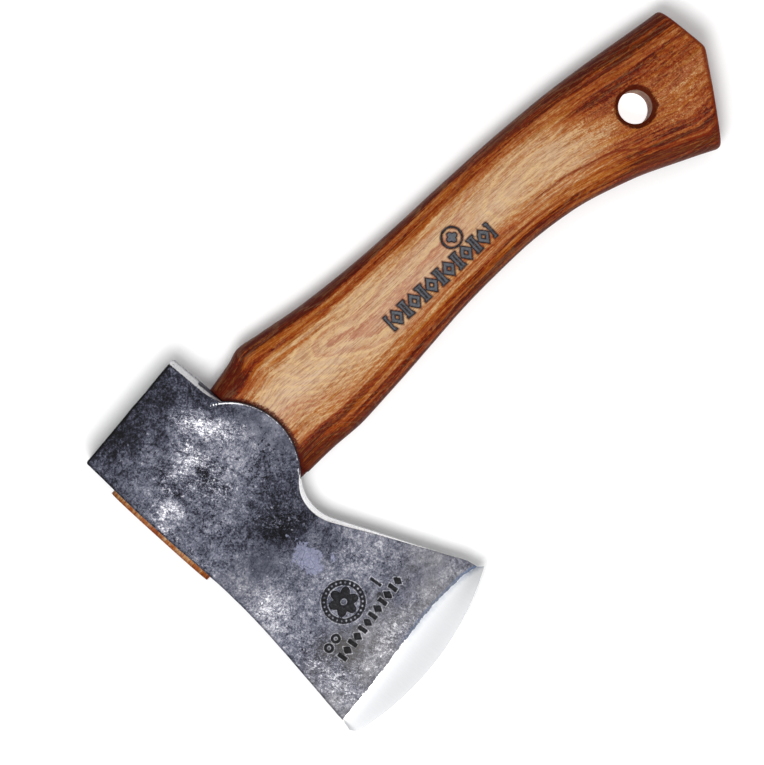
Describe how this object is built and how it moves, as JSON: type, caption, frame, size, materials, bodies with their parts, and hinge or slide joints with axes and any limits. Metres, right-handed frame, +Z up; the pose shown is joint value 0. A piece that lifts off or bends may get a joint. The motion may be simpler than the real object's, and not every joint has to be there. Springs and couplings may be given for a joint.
{
  "type": "hatchet",
  "caption": "Small one-handed hatchet: a forged steel head with a polished bevel, wedged onto a short curved wooden handle with a lanyard hole.",
  "frame": {"origin": "on the lower cheek of the head, straight below the middle of the eye, with the hatchet lying flat on its side", "axes": "+X along the eye, from the head's top towards the end of the handle; +Y towards the poll, so -Y is towards the cutting edge; +Z up, across the head's thickness"},
  "size_m": [0.245, 0.1293, 0.0235],
  "materials": {
    "forged_steel": "dark forge scale, with the bevel ground bright",
    "oiled_wood": "oiled, fine sanded",
    "wedge_wood": "raw end grain, oiled with the handle",
    "wedge_steel": "bare, cut flush"
  },
  "bodies": {
    "root": {"axe_head": "forged_steel", "handle": "oiled_wood", "wooden_wedge": "wedge_wood", "steel_wedge": "wedge_steel"}
  },
  "joints": []
}
